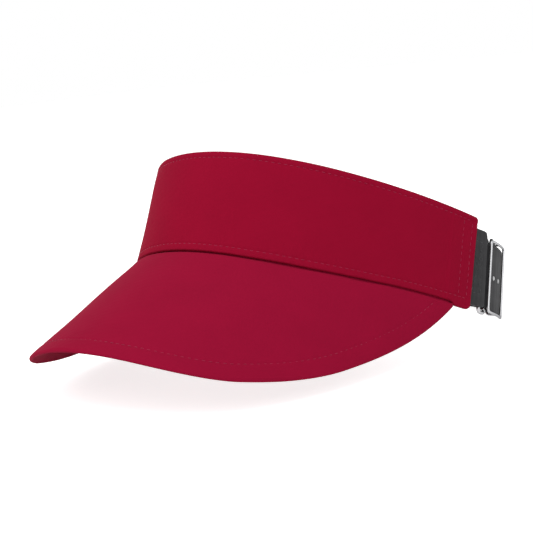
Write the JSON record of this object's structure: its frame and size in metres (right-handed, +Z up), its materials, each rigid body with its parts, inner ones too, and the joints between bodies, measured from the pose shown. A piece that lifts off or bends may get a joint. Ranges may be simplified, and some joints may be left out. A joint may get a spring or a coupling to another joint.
{
  "type": "sun visor",
  "caption": "Adjustable cloth sun visor with a stiffened leaning headband, an arched stitched bill, a padded sweatband and an elastic back strap closed by a wire ring and slider.",
  "frame": {"origin": "centre of the bounding box at the surface the visor rests on", "axes": "+Z up from the surface, -Y towards the tip of the bill, +X towards the wearer's left"},
  "size_m": [0.1898, 0.2646, 0.1064],
  "materials": {
    "visor_cloth": "smooth crimson polyester twill",
    "bill_cloth": "smooth crimson polyester twill, stretched over the bill",
    "buckram": "stiff open weave",
    "lining": "plain crimson lining cloth",
    "sweatband": "brushed terry",
    "foam": "open-cell foam",
    "board": "flat moulded polyethylene board",
    "thread": "tonal polyester thread",
    "strap": "fine woven dark grey elastic",
    "strap_thread": "tonal grey thread",
    "metal": "bright nickel-plated wire",
    "marker": "small raised pale grey dot"
  },
  "bodies": {
    "visor": {"back_strap": "strap", "bill_board": "board", "bill_cover_top": "bill_cloth", "bill_cover_under": "bill_cloth", "bill_edge_seam": "bill_cloth", "bill_stitching": "thread", "front_panel": "visor_cloth", "left_end_facing": "visor_cloth", "left_hem_stitching": "thread", "marker_dots": "marker", "panel_lining": "lining", "panel_stiffener": "buckram", "return_strap": "strap", "right_end_facing": "visor_cloth", "right_hem_stitching": "thread", "ring_tab": "strap", "seam_stitching": "thread", "sweatband_cover": "sweatband", "sweatband_foam": "foam", "tab_box_stitching": "strap_thread", "top_edge_stitching": "thread", "top_seam_allowance": "visor_cloth"},
    "ring": {"wire_ring": "metal", "strap_fold": "strap"},
    "slider": {"slider_frame": "metal", "slider_loop": "strap"}
  },
  "joints": [
    {"name": "slider_travel", "type": "hinge", "parent": "visor", "child": "slider", "pos_m": [0.0284, 0.05288, 0.01758], "axis": [0, 0.3801, 0.925], "range_deg": [0, 35], "deforming": ["return_strap"]},
    {"name": "ring_swing", "type": "hinge", "parent": "visor", "child": "ring", "pos_m": [0.08959, 0.05387, 0.01718], "axis": [0, 0.3801, 0.925], "range_deg": [0, 8]}
  ]
}
